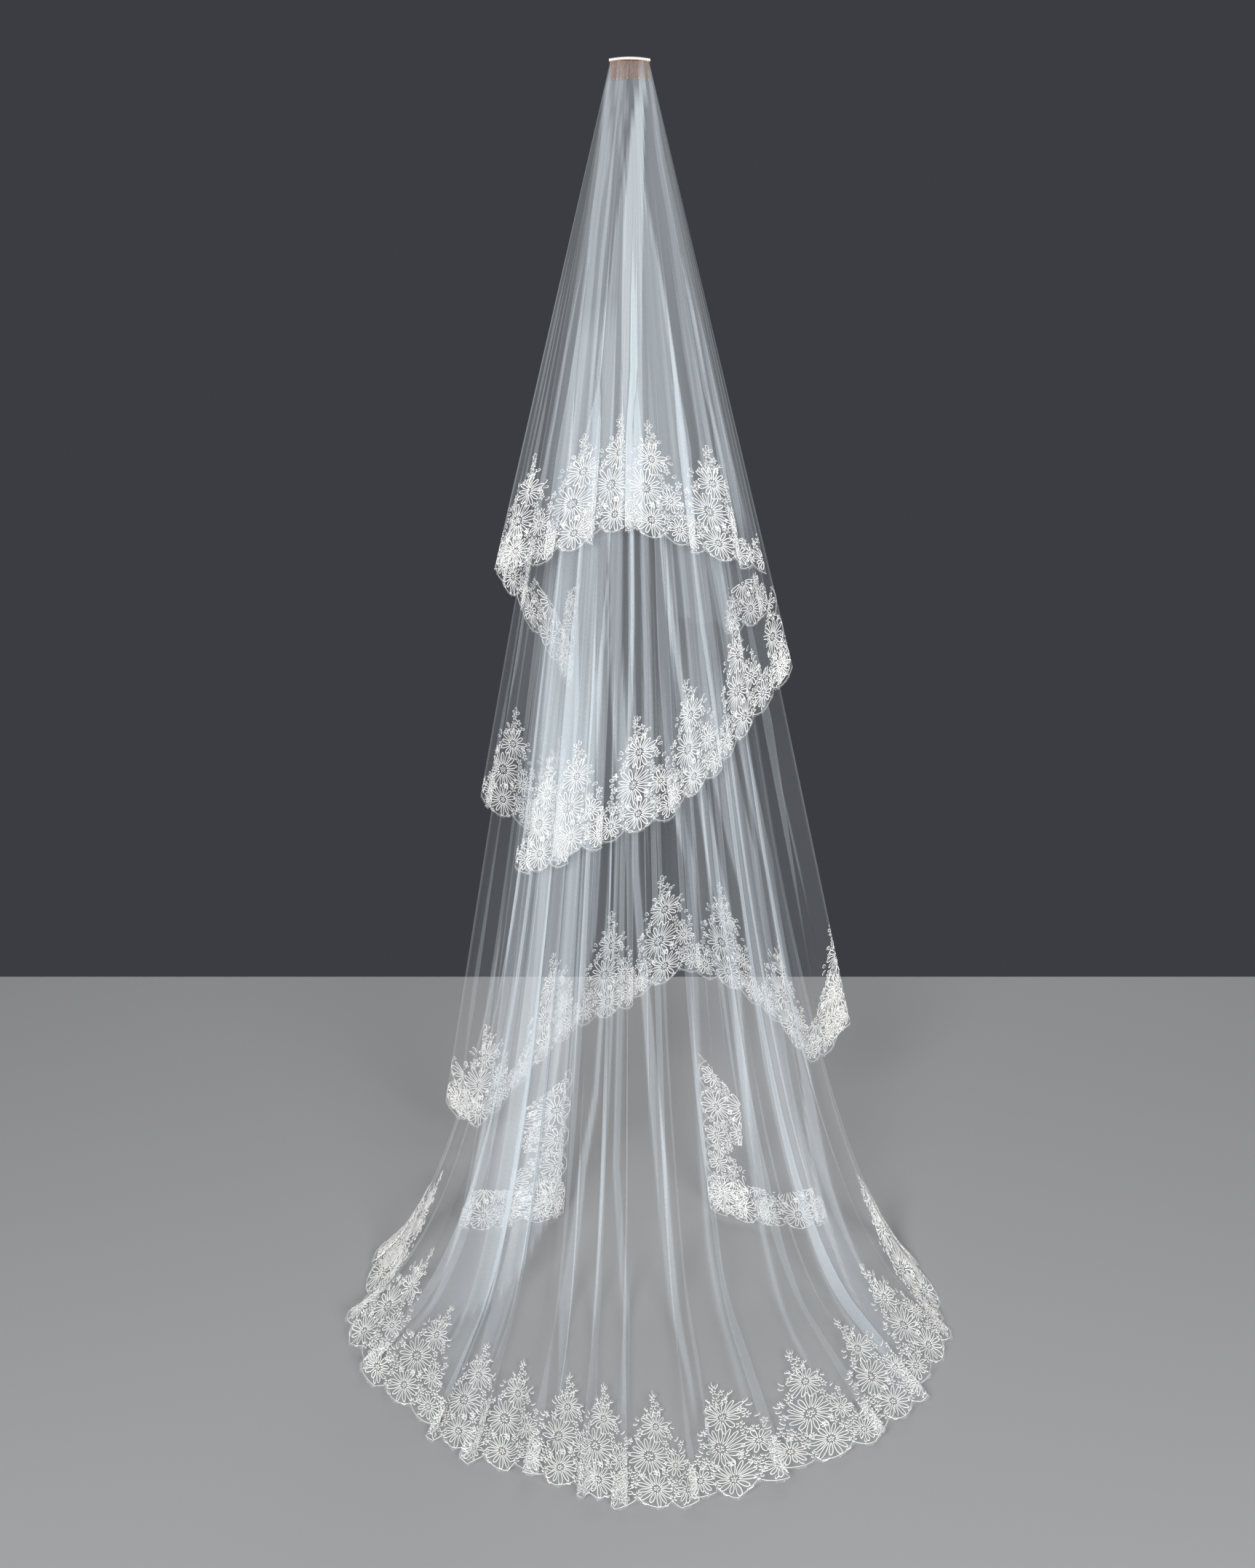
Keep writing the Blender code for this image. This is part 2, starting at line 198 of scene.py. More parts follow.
mesh.shade_smooth()
binding = bpy.data.objects.new("binding_thread", mesh)
bpy.context.scene.collection.objects.link(binding)

wound_thread = bpy.data.materials.new("white wound sewing thread")
wound_thread.use_nodes = True
tree = wound_thread.node_tree
shader = tree.nodes["Principled BSDF"]
# soft white thread, its turns shown by fine ridges across the spine, with painted shade that
# darkens the grooves between turns
shader.inputs["Roughness"].default_value = 0.6
shader.inputs["Sheen Weight"].default_value = 0.3
place = add(tree, "ShaderNodeTexCoord")
turns = add(
    tree, "ShaderNodeTexWave", wave_type="BANDS", bands_direction="X", Scale=500.0, Distortion=1.5,
)
ridge = add(tree, "ShaderNodeBump", Strength=0.5, Distance=0.0002)
# painted shade: the wave that raises each turn also gives the low grooves between turns the darker
# tone
tone = add(tree, "ShaderNodeMix", data_type="RGBA")
tone.inputs["A"].default_value = linear("#DEDDDB")
tone.inputs["B"].default_value = linear(THREAD)
tree.links.new(place.outputs["Object"], turns.inputs["Vector"])
tree.links.new(turns.outputs["Fac"], ridge.inputs["Height"])
tree.links.new(turns.outputs["Fac"], tone.inputs["Factor"])
tree.links.new(tone.outputs["Result"], shader.inputs["Base Color"])
tree.links.new(ridge.outputs["Normal"], shader.inputs["Normal"])
binding.data.materials.append(wound_thread)
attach(binding, "root")
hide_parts("comb_binding")


# ==== Net ====
# Sheer nylon tulle, cut wide and gathered on the comb. Each layer fans out from its sewn edge in
# straight lines and falls in flat overlapping pleats; the train's turns out onto the floor. Layers
# that double back behind others are the same cloth.

NET_WALL = 0.0012
LAYER_STEP = 0.0015
TOP_DROP = 0.0045
LAYER_CLEAR = 0.0002
SEWN_HALF = 0.036
ROUNDING = 0.6
FLOOR_DROP = 2.1
KNEE_DROP = 2.07
SWEEP_FROM = 0.64
SWEEP_RUN = 0.30
SWEEP_POINTS = 24
FALL_HEM_CLEAR = 0.004
TRAIN_HEM_CLEAR = 0.001
FULL_PLEAT_AT = 1.0
PLEAT_SKEW = 0.75
PLEAT_SPANS = (4, 5, 4, 6, 4, 5)
PLEAT_HEIGHTS = (0.8, 1.0, 0.7, 0.95, 0.75)
EDGE_COLUMNS = 9
COLUMNS_PER_REPEAT = 6      # pleat columns, as the table of spans counts them
FLAT_REPEAT = 0.168         # one repeat of the lace, laid flat
SCALLOP = 0.015
SCALLOPS_PER_REPEAT = 3
SCALLOP_POINT = 0.7         # below 1 the hem meets in sharper points between the scallops
NET_COLUMNS = 70            # columns of the net's own grid in each repeat
REACH_PAST_HEM = 1.02       # how far past its hem a layer's surface can be asked for

# Hems that hang clear of the floor. Columns: lace repeat, across, drop below the comb
TIER_ONE_HEM = (
    (0.00, -0.257, 0.896), (0.35, -0.221, 0.892), (0.90, -0.161, 0.877), (1.35, -0.109, 0.856),
    (2.35, -0.029, 0.822), (2.85, 0.005, 0.818), (3.35, 0.043, 0.832), (3.85, 0.103, 0.852),
    (4.35, 0.172, 0.876), (5.00, 0.260, 0.905),
)
TIER_ONE_LEFT_HEM = (
    (0.0, -0.267, 0.934), (0.5, -0.235, 0.971), (1.0, -0.201, 1.010), (2.0, -0.115, 1.150),
)
TIER_ONE_RIGHT_HEM = (
    (0.0, 0.080, 1.005), (0.5, 0.135, 1.022), (1.0, 0.205, 1.045), (2.0, 0.278, 1.010),
)
TIER_TWO_HEM = (
    (0.0, -0.221, 1.437), (0.5, -0.174, 1.430), (1.5, -0.114, 1.398), (2.0, -0.048, 1.381),
    (2.5, 0.017, 1.354), (3.0, 0.081, 1.325), (3.5, 0.124, 1.291), (4.0, 0.179, 1.242),
    (4.5, 0.221, 1.191), (5.3, 0.315, 1.087),
)
TIER_TWO_LEFT_HEM = (
    (0.0, -0.301, 1.379), (0.5, -0.258, 1.403), (1.0, -0.211, 1.425), (2.0, -0.115, 1.480),
)
TIER_THREE_HEM = (
    (0.0, -0.385, 2.016), (0.5, -0.314, 2.050), (1.2, -0.214, 1.941), (1.9, -0.122, 1.845),
    (2.6, -0.033, 1.800), (3.2, 0.033, 1.762), (3.8, 0.115, 1.718), (4.5, 0.205, 1.754),
    (5.2, 0.296, 1.828), (5.9, 0.384, 1.925), (6.5, 0.460, 1.856),
)

# Hems that reach the floor. Columns: lace repeat, across at the knee, across at the hem, and the
# hem's own Y
TRAIN_HEM = (
    (0.0, -0.315, -0.483, -0.814), (0.5, -0.300, -0.487, -0.930), (1.5, -0.270, -0.494, -1.090),
    (2.5, -0.235, -0.396, -1.244), (3.5, -0.190, -0.288, -1.350), (4.5, -0.140, -0.212, -1.390),
    (5.5, -0.085, -0.114, -1.428), (6.5, -0.030, -0.051, -1.460), (7.5, 0.030, 0.043, -1.474),
    (8.5, 0.100, 0.172, -1.447), (9.5, 0.180, 0.339, -1.365), (10.5, 0.260, 0.457, -1.280),
    (11.5, 0.330, 0.546, -1.128), (12.5, 0.385, 0.565, -0.975), (13.0, 0.400, 0.520, -0.810),
)
TRAIN_LEFT_HEM = (
    (0.0, -0.310, -0.335, -0.765), (0.5, -0.268, -0.287, -0.770), (1.0, -0.226, -0.242, -0.765),
    (1.5, -0.166, -0.176, -0.745), (2.0, -0.124, -0.130, -0.728),
)
TRAIN_RIGHT_HEM = (
    (0.0, 0.150, 0.158, -0.710), (0.5, 0.212, 0.225, -0.745), (1.0, 0.258, 0.276, -0.765),
    (1.5, 0.312, 0.335, -0.765), (2.0, 0.362, 0.390, -0.750),
)

# Large folds, one in each repeat, used in turn along a layer. Columns: where in the repeat, which
# way it turns, then half its overlap at each of FOLD_SHARES but the last. Near the hem of a hanging
# layer the lace's own width decides the overlap
FOLDS = (
    (0.45, 1, 0.003, 0.017, 0.12, 0.10, 0.03, 0.09),
    (0.58, -1, 0.003, 0.010, 0.05, 0.11, 0.13, 0.04),
    (0.40, -1, 0.003, 0.025, 0.09, 0.04, 0.08, 0.11),
    (0.52, 1, 0.003, 0.010, 0.12, 0.15, 0.06, 0.02),
    (0.60, 1, 0.003, 0.017, 0.04, 0.07, 0.12, 0.13),
    (0.44, -1, 0.003, 0.021, 0.07, 0.03, 0.02, 0.07),
    (0.50, 1, 0.003, 0.007, 0.14, 0.12, 0.04, 0.02),
)
# Small folds that fade out before the hem, used in turn. Columns: repeats to the next, which way,
# half its overlap at the same places
CREASES = (
    (0.71, 1, 0.003, 0.021, 0.03, 0.03, 0.06, 0.003),
    (0.52, -1, 0.003, 0.014, 0.06, 0.04, 0.003, 0.003),
    (0.90, 1, 0.003, 0.014, 0.08, 0.04, 0.03, 0.05),
    (0.60, -1, 0.003, 0.010, 0.003, 0.003, 0.05, 0.003),
    (0.80, -1, 0.003, 0.021, 0.05, 0.06, 0.003, 0.003),
    (0.55, 1, 0.003, 0.025, 0.03, 0.003, 0.06, 0.04),
    (1.00, 1, 0.003, 0.001, 0.06, 0.05, 0.03, 0.003),
)
FOLD_SHARES = (0.0, 0.36, 0.5, 0.65, 0.78, 0.88, 1.0)
FOLD_RISE = 0.0030          # between the thicknesses of a large fold
CREASE_RISE = 0.0012
TURNED_PART = 0.9           # extra thicknesses where the net runs back under itself
TURNED_EDGE = 1.6           # extra thicknesses in the line where it turns over
SIDE_EDGE = 2.5             # and along the layer's own side edge
STRIP_EDGE = 1.2
STRIP_SOFT = 0.004          # share of the width over which a strip's edge fades
STRIP_FADE = 0.05           # share of the way down over which a strip's ends fade
STREAK = 0.12               # how uneven the folds within a strip are
SIDE_LINE = 0.003           # width of the line along a side edge
LEAST_FOLD = 0.003          # half overlap of a fold that doesn't show
MOST_FOLD = 0.32
TRAIN_FOLD = 0.07           # least half overlap of a fold at the train's hem
SHORT_SPAN = 0.6            # between peaks closer than this, folds are kept small
SHORT_SPAN_FOLD = 0.12
SHORT_SPAN_HEM_FOLD = 0.16
WIDTHS_ABOVE_HEM = (0.78, 0.88)     # a hanging layer's width at the same shares down
FOLDS_FROM = 0.01           # half overlap at which a fold's extra thickness starts to show
FOLDS_OVER = 0.03           # and how much further it takes to show in full
FULL_RISE_AT = 0.04         # half overlap at which a fold stands at its full height
LEAST_RISE = 0.15           # share of that height at the comb
FOLDS_SHOWN_BY = 0.2        # share of the way down at which the folds' thickness shows in full

# Where a fold changes across it, in half overlaps from its middle
CLIMB = 1.5
SETTLE_FROM = 3.2
SETTLED_BY = 9.0
EDGE_LINE = 0.25
PART_SOFT = 0.3
FOLD_SOFT = 0.05            # how round the turned edges are
STRIP_SIDE = 0.08           # share of a fold's own strip over which it dies out at the sides

# Strips where the net is gathered in many fine folds, which fan out from the comb. Columns: extra
# thicknesses, then rows of share down, and left and right border as shares across
STRIPS = {
    "tier_one": (
        (1.5, ((0.05, 0.033, 0.133), (0.17, 0.090, 0.273), (0.32, 0.122, 0.320),
               (0.91, 0.125, 0.328))),
        (3.0, ((0.04, 0.000, 0.090), (0.17, 0.145, 0.255), (0.31, 0.150, 0.215),
               (0.46, 0.198, 0.238),
               (0.91, 0.230, 0.253))),
        (4.0, ((0.16, 0.283, 0.307), (0.25, 0.273, 0.310), (0.40, 0.265, 0.297),
               (0.77, 0.288, 0.312))),
        (3.0, ((0.03, 0.188, 0.235), (0.18, 0.393, 0.432), (0.30, 0.465, 0.497),
               (0.41, 0.480, 0.500))),
        (3.0, ((0.03, 0.220, 0.315), (0.10, 0.422, 0.500), (0.15, 0.532, 0.568))),
        (8.0, ((0.03, 0.748, 0.868), (0.10, 0.608, 0.760), (0.18, 0.535, 0.720),
               (0.33, 0.468, 0.680),
               (0.49, 0.473, 0.652), (0.64, 0.490, 0.638), (0.95, 0.487, 0.638))),
        (4.5, ((0.10, 0.635, 0.760), (0.18, 0.490, 0.720), (0.27, 0.440, 0.695),
               (0.33, 0.385, 0.735),
               (0.47, 0.367, 0.787), (0.62, 0.320, 0.800), (0.92, 0.328, 0.802))),
        (3.0, ((0.28, 0.693, 0.725), (0.40, 0.758, 0.777), (0.62, 0.787, 0.805),
               (0.91, 0.795, 0.807))),
        (2.5, ((0.04, 0.912, 0.978), (0.17, 0.848, 0.893), (0.31, 0.870, 0.910),
               (0.90, 0.853, 0.895))),
        (1.5, ((0.08, 0.907, 0.948), (0.17, 0.885, 0.930), (0.28, 0.902, 0.945),
               (0.88, 0.930, 0.973))),
    ),
    "tier_two": (
        (4.2, ((0.35, 0.020, 0.370), (0.60, 0.050, 0.360), (0.79, 0.052, 0.355),
               (0.97, 0.062, 0.343))),
        (4.0, ((0.56, 0.182, 0.315), (0.70, 0.245, 0.330), (0.98, 0.283, 0.335))),
        (5.0, ((0.57, 0.362, 0.420), (0.76, 0.378, 0.420), (0.95, 0.415, 0.450))),
        (5.0, ((0.58, 0.448, 0.465), (0.72, 0.450, 0.465), (0.86, 0.440, 0.450),
               (0.95, 0.420, 0.432))),
        (4.0, ((0.58, 0.497, 0.525), (0.73, 0.497, 0.520), (0.97, 0.490, 0.517))),
        (6.0, ((0.60, 0.573, 0.595), (0.72, 0.585, 0.613), (0.91, 0.645, 0.665),
               (0.98, 0.642, 0.660))),
        (3.0, ((0.62, 0.665, 0.733), (0.77, 0.677, 0.738), (0.98, 0.690, 0.750))),
        (2.5, ((0.65, 0.765, 0.843), (0.82, 0.805, 0.858), (0.93, 0.815, 0.848))),
    ),
    "train": (
        (4.0, ((0.44, 0.040, 0.430), (0.53, 0.077, 0.432), (0.59, 0.072, 0.425),
               (0.65, 0.062, 0.380),
               (0.70, 0.085, 0.380), (0.79, 0.125, 0.350), (0.84, 0.143, 0.288),
               (0.91, 0.160, 0.208))),
        (4.0, ((0.46, 0.297, 0.357), (0.64, 0.292, 0.345), (0.76, 0.265, 0.310),
               (0.87, 0.250, 0.285),
               (0.94, 0.263, 0.283))),
        (3.5, ((0.48, 0.147, 0.235), (0.60, 0.180, 0.253), (0.71, 0.193, 0.250),
               (0.92, 0.215, 0.242))),
        (4.5, ((0.45, 0.465, 0.482), (0.55, 0.463, 0.473), (0.70, 0.438, 0.450),
               (0.75, 0.408, 0.425),
               (0.85, 0.390, 0.410), (0.91, 0.405, 0.415))),
        (3.0, ((0.45, 0.497, 0.508), (0.64, 0.478, 0.490), (0.84, 0.463, 0.468))),
        (3.5, ((0.44, 0.512, 0.545), (0.54, 0.505, 0.522), (0.74, 0.500, 0.515),
               (0.84, 0.530, 0.542),
               (0.90, 0.532, 0.542))),
        (4.5, ((0.44, 0.545, 0.562), (0.54, 0.547, 0.568), (0.64, 0.578, 0.600),
               (0.74, 0.598, 0.620),
               (0.84, 0.613, 0.625), (0.90, 0.623, 0.628))),
        (3.0, ((0.45, 0.642, 0.667), (0.55, 0.703, 0.723), (0.70, 0.685, 0.695),
               (0.80, 0.675, 0.680),
               (0.91, 0.675, 0.680))),
        (3.5, ((0.46, 0.733, 0.755), (0.57, 0.760, 0.790), (0.62, 0.785, 0.807),
               (0.77, 0.760, 0.768),
               (0.90, 0.743, 0.748))),
        (4.0, ((0.47, 0.777, 0.858), (0.59, 0.833, 0.895), (0.72, 0.825, 0.880),
               (0.85, 0.825, 0.868),
               (0.96, 0.815, 0.833))),
        (4.0, ((0.49, 0.885, 0.912), (0.62, 0.925, 0.958), (0.76, 0.905, 0.932),
               (0.84, 0.858, 0.897),
               (0.94, 0.843, 0.880))),
    ),
}

# Layers, from the -Y side to the wearer's. Columns: name, hem, on the floor, layer counted from
# the comb's teeth, lean, first and last place on the comb as shares, lace repeat of the first peak,
# pleat depth, where its first fold comes in the table of folds
LAYERS = (
    ("tier_one", TIER_ONE_HEM, False, -3, 0.42, -1.0, 1.0, 0.35, 0.012, 0),
    ("tier_two", TIER_TWO_HEM, False, -2, 0.39, -1.0, 1.0, 0.50, 0.012, 3),
    ("train", TRAIN_HEM, True, -1, 0.36, -1.0, 1.0, 0.50, 0.014, 5),
    ("train_left_fall", TRAIN_LEFT_HEM, True, 1, 0.31, -1.0, -0.1, 1.50, 0.010, 2),
    ("train_right_fall", TRAIN_RIGHT_HEM, True, 1, 0.31, 0.1, 1.0, 0.50, 0.010, 6),
    ("tier_one_left_fall", TIER_ONE_LEFT_HEM, False, 2, 0.29, -1.0, -0.1, 1.50, 0.008, 1),
    ("tier_one_right_fall", TIER_ONE_RIGHT_HEM, False, 2, 0.29, 0.1, 1.0, 0.50, 0.008, 4),
    ("tier_two_left_fall", TIER_TWO_LEFT_HEM, False, 3, 0.27, -1.0, -0.1, 0.50, 0.008, 7),
    ("tier_three", TIER_THREE_HEM, False, 4, 0.25, -1.0, 1.0, 0.50, 0.012, 2),
)


def smoothstep(share):
    share = np.clip(share, 0.0, 1.0)
    return share * share * (3 - 2 * share)


def rows_at(table, place):
    """The columns of a hem table at many places along it, on a smooth curve through its rows."""
    table = np.array(table)
    index = np.clip(np.searchsorted(table[:, 0], place, side="right") - 1, 0, len(table) - 2)
    low, high = table[index], table[index + 1]
    before, after = table[np.maximum(index - 1, 0)], table[np.minimum(index + 2, len(table) - 1)]
    span = (high - low)[:, :1]
    share = ((place - low[:, 0]) / span[:, 0])[:, None]
    slope_low = (high - before)[:, 1:] / (high - before)[:, :1] * span
    slope_high = (after - low)[:, 1:] / (after - low)[:, :1] * span
    rise = (high - low)[:, 1:]
    bend = slope_low + slope_high - 2 * rise
    turn = 3 * rise - 2 * slope_low - slope_high
    return low[:, 1:] + share * (slope_low + share * (turn + share * bend))


def scallop(place):
    """How far the hem is drawn up at a place, counted in repeats from a peak."""
    return SCALLOP * (1 - np.abs(np.cos(np.pi * SCALLOPS_PER_REPEAT * place)) ** SCALLOP_POINT)


def turned_share(step):
    """From 0 to 1 across a fold's turned part, with soft ends."""
    before = np.sqrt((step + 1) ** 2 + FOLD_SOFT)
    return 0.5 + (before - np.sqrt((step - 1) ** 2 + FOLD_SOFT)) / 4


def fold_over(place, bands, centre, way):
    """A flat fold across a strip of cloth, place and centre from 0 to 1 across it.

    The cloth runs on, turns back for twice the overlap and runs on again. Returns where each place
    comes to lie, the thicknesses under it, from 0 to 2, and the extra thicknesses that show there.
    """
    if way < 0:
        place, centre = 1 - place, 1 - centre
    full = 1 + 4 * bands
    step = (place - centre) * full / bands
    first, last = turned_share(-centre * full / bands), turned_share((1 - centre) * full / bands)
    moved = place * full - 4 * bands * (turned_share(step) - first) / (last - first)
    end = np.minimum((1 - centre) * full / bands, SETTLED_BY)
    settled = smoothstep((step - SETTLE_FROM) / np.maximum(end - SETTLE_FROM, 0.5))
    over = 2 * smoothstep((step + CLIMB) / (2 * CLIMB)) * (1 - settled)
    fade = smoothstep(place / STRIP_SIDE) * smoothstep((1 - place) / STRIP_SIDE)
    extra = TURNED_EDGE * np.exp(-((np.abs(step) - 1) / EDGE_LINE) ** 2)
    extra += TURNED_PART * smoothstep((1 + PART_SOFT - np.abs(step)) / PART_SOFT)
    extra *= smoothstep((bands - FOLDS_FROM) / FOLDS_OVER)
    return (1 - moved if way < 0 else moved), over * fade, extra


class Cloth:
    """One layer: where a place along the hem and a share of the way down lie, with its folds."""

    def __init__(self, name, hem, on_floor, level, lean, comb_from, comb_to, peak, depth, fold):
        self.name, self.hem, self.on_floor = name, hem, on_floor
        self.level = level * LAYER_STEP + math.copysign(LAYER_CLEAR, level) - TOOTH_LEAN * TOP_DROP
        self.lean = lean
        self.comb_from, self.comb_to = comb_from * SEWN_HALF, comb_to * SEWN_HALF
        self.first_peak, self.depth = peak, depth
        self.repeats = hem[-1][0]
        self.hem_clear = TRAIN_HEM_CLEAR if name == "train" else FALL_HEM_CLEAR
        self.along = np.linspace(0, self.repeats, round(self.repeats * 40) + 1)
        ends = self.base(self.along, np.ones_like(self.along))
        steps = np.linalg.norm(np.diff(ends, axis=0), axis=1)
        self.hem_run = np.concatenate([[0.0], np.cumsum(steps)])
        self.lengths = self.length_at(self.along)
        self.place_folds(fold)

    def forward(self, across, drop):
        return self.level - drop * (self.lean - ROUNDING * (across / drop) ** 2)

    def path(self, place):
        """Points down the cloth at many places, as an array of places by points by three."""
        place = np.clip(place, 0, self.repeats)
        share = place / self.repeats
        top = np.stack([
            self.comb_from + share * (self.comb_to - self.comb_from),
            np.full_like(place, self.level), np.full_like(place, -TOP_DROP),
        ], axis=1)
        found = rows_at(self.hem, place)
        if not self.on_floor:
            across, drop = found.T
            end = np.stack([across, self.forward(across, drop), -drop], axis=1)
            return np.stack([top, end], axis=1)
        knee = np.stack([
            found[:, 0], self.forward(found[:, 0], KNEE_DROP), np.full_like(place, -KNEE_DROP),
        ], axis=1)
        height = -FLOOR_DROP + NET_WALL / 2 + self.hem_clear
        end = np.stack([found[:, 1], found[:, 2], np.full_like(place, height)], axis=1)
        run = np.linalg.norm(end - knee, axis=1, keepdims=True)
        begin = top + (knee - top) * SWEEP_FROM
        landed = knee + (end - knee) * np.minimum(1.0, SWEEP_RUN / run)
        landed[:, 2] = height
        points = [top]
        for step in range(SWEEP_POINTS + 1):
            part = step / SWEEP_POINTS
            upper, lower = begin + (knee - begin) * part, knee + (landed - knee) * part
            points.append(upper + (lower - upper) * part)
        points.append(end)
        return np.stack(points, axis=1)

    def length_at(self, place):
        return np.linalg.norm(np.diff(self.path(place), axis=1), axis=2).sum(axis=1)

    def base(self, place, share):
        """The layer's middle surface before pleats and folds."""
        points = self.path(place)
        steps = np.linalg.norm(np.diff(points, axis=1), axis=2)
        ends = np.cumsum(steps, axis=1)
        reach = np.clip(share, 0.0, REACH_PAST_HEM) * ends[:, -1]
        index = np.minimum((ends < reach[:, None]).sum(axis=1), steps.shape[1] - 1)
        rows = np.arange(len(reach))
        step = steps[rows, index]
        left = (reach - ends[rows, index] + step) / np.maximum(step, 1e-9)
        low, high = points[rows, index], points[rows, index + 1]
        return low + (high - low) * left[:, None]

    def outward(self, place, share):
        across = self.base(place + 0.1, share) - self.base(place - 0.1, share)
        down = self.base(place, np.minimum(share + 0.01, 1.0)) - self.base(place, share - 0.01)
        facing = np.cross(down, across)
        return facing / np.linalg.norm(facing, axis=1, keepdims=True)

    def pleat(self, place):
        """The layer's soft pleats, from 0 at their feet to 1 at the highest crest."""
        column = place * COLUMNS_PER_REPEAT
        count = self.repeats * COLUMNS_PER_REPEAT
        rise = np.zeros_like(place)
        foot, index = 0, 0
        while foot < count:
            span = PLEAT_SPANS[index % len(PLEAT_SPANS)]
            inside = (column >= foot) & (column <= foot + span)
            share = np.clip((column - foot) / span, 0, 1)
            height = PLEAT_HEIGHTS[index % len(PLEAT_HEIGHTS)]
            rise = np.where(inside, height * np.sin(np.pi * share ** PLEAT_SKEW), rise)
            foot, index = foot + span, index + 1
        return rise * np.clip(np.minimum(column, count - column) / EDGE_COLUMNS, 0, 1)

    def place_folds(self, first_fold):
        """Large folds between the lace's peaks, taking up what the hem has too much of; creases."""
        knots = [self.first_peak + k for k in range(-1, round(self.repeats) + 2)]
        knots = [0.0] + [k for k in knots if 0.2 < k < self.repeats - 0.2] + [self.repeats]
        self.folds = []
        for n, (start, end) in enumerate(zip(knots, knots[1:])):
            centre, way, *bands = FOLDS[(n + first_fold) % len(FOLDS)]
            first, last = np.interp((start, end), self.along, self.hem_run)
            run = last - first
            flat = FLAT_REPEAT * (end - start)
            least = TRAIN_FOLD if self.name == "train" else LEAST_FOLD
            at_hem = float(np.clip((flat / run - 1) / 4, least, MOST_FOLD))
            if end - start < SHORT_SPAN:
                bands = [min(band, SHORT_SPAN_FOLD) for band in bands]
                at_hem = min(at_hem, SHORT_SPAN_HEM_FOLD)
            elif not self.on_floor:
                widths = np.array(WIDTHS_ABOVE_HEM) * run
                bands[-2:] = np.clip((flat / widths - 1) / 4, LEAST_FOLD, MOST_FOLD).tolist()
            self.folds.append((start, end, centre, way, [*bands, at_hem], FOLD_RISE))
        self.creases = []
        foot, n = 0.0, first_fold
        while foot < self.repeats - 0.3:
            gap, way, *bands = CREASES[n % len(CREASES)]
            end = min(foot + gap, self.repeats)
            self.creases.append((foot, end, 0.5, way, [*bands, LEAST_FOLD], CREASE_RISE))
            foot, n = end, n + 1

    def folded(self, place, share):
        """Where places of the flat cloth come to lie, how far they stand out, extra thicknesses."""
        out = np.zeros_like(place)
        extra = np.zeros_like(place)
        for group in (self.creases, self.folds):
            moved = place.copy()
            for start, end, centre, way, bands, rise in group:
                inside = (place >= start) & (place <= end)
                if not inside.any():
                    continue
                band = np.interp(share[inside], FOLD_SHARES, bands)
                across = (place[inside] - start) / (end - start)
                lies, over, more = fold_over(across, band, centre, way)
                moved[inside] = start + lies * (end - start)
                out[inside] += over * rise * smoothstep(band / FULL_RISE_AT)
                extra[inside] += more
            place = moved
        return place, out, extra

    def point(self, place, share):
        """Points on the folded layer. A folded hem runs in steps, as its flat edge is even."""
        lies, out, _ = self.folded(np.clip(place, 0, self.repeats), share)
        length = np.interp(lies, self.along, self.lengths)
        steps = np.interp(place, self.along, self.lengths) / length - 1
        share = share * (1 + steps * share ** 2)
        distance = share * length
        grown = smoothstep(distance / FULL_PLEAT_AT)
        rise = self.depth * grown * self.pleat(lies) + out * (LEAST_RISE + (1 - LEAST_RISE) * grown)
        return self.base(lies, share) + self.outward(lies, share) * rise[:, None]

    def hem_lift(self, place):
        return scallop(place - self.first_peak)

    def thickness(self, place, share):
        """How many thicknesses of net show at a place, with its folds and gathered strips."""
        lies, _, layers = self.folded(place, share)
        across = lies / self.repeats
        layers = 1.0 + layers * smoothstep(share / FOLDS_SHOWN_BY)
        from_side = np.minimum(place, self.repeats - place) * FLAT_REPEAT
        layers += SIDE_EDGE * np.exp(-(from_side / SIDE_LINE) ** 2)
        # about thirty fine streaks across a layer, unevenly spaced
        streaks = 1 + STREAK * np.sin(210 * across + 4 * np.sin(11 * across + 2 * share))
        for extra, rows in STRIPS.get(self.name, ()):
            down, left, right = np.array(rows).T
            left, right = np.interp(share, down, left), np.interp(share, down, right)
            left, right = (across - left) / STRIP_SOFT, (right - across) / STRIP_SOFT
            inside = smoothstep(left + 0.5) * smoothstep(right + 0.5)
            lines = np.exp(-left ** 2) + np.exp(-right ** 2)
            shown = smoothstep((share - down[0]) / STRIP_FADE + 1)
            shown *= smoothstep((down[-1] - share) / STRIP_FADE + 1)
            layers += (extra * inside * streaks + STRIP_EDGE * lines) * shown
        return layers


def net_sheet(cloth, shares):
    """The net of a layer from its sewn edge to its scalloped hem, as a grid."""
    count = round(cloth.repeats * NET_COLUMNS) + 1
    places = np.linspace(0, cloth.repeats, count)
    lengths = np.interp(places, cloth.along, cloth.lengths)
    verts, uvs, layers = [], [], []
    for share in shares:
        down = np.full(count, share) * (1 - cloth.hem_lift(places) * share / lengths)
        verts.append(cloth.point(places, down))
        uvs.append(np.stack([places * FLAT_REPEAT, down * lengths], axis=1))
        layers.append(cloth.thickness(places, down))
    verts, uvs, layers = np.concatenate(verts), np.concatenate(uvs), np.concatenate(layers)
    rows = np.arange(len(shares) - 1)[:, None] * count
    corner = (rows + np.arange(count - 1)[None, :]).ravel()
    faces = np.stack([corner, corner + count, corner + count + 1, corner + 1], axis=1)
    mesh = bpy.data.meshes.new(cloth.name + "_tulle")
    mesh.from_pydata(verts.tolist(), [], faces.tolist())
    mesh.uv_layers.new(name="cloth").data.foreach_set("uv", uvs[faces.ravel()].ravel())
    mesh.attributes.new("thicknesses", "FLOAT", "POINT").data.foreach_set("value", layers)
    mesh.shade_smooth()
    made = bpy.data.objects.new(cloth.name + "_tulle", mesh)
    bpy.context.scene.collection.objects.link(made)
    return made


NET_COVER = 0.050           # share of one thickness of net that is thread


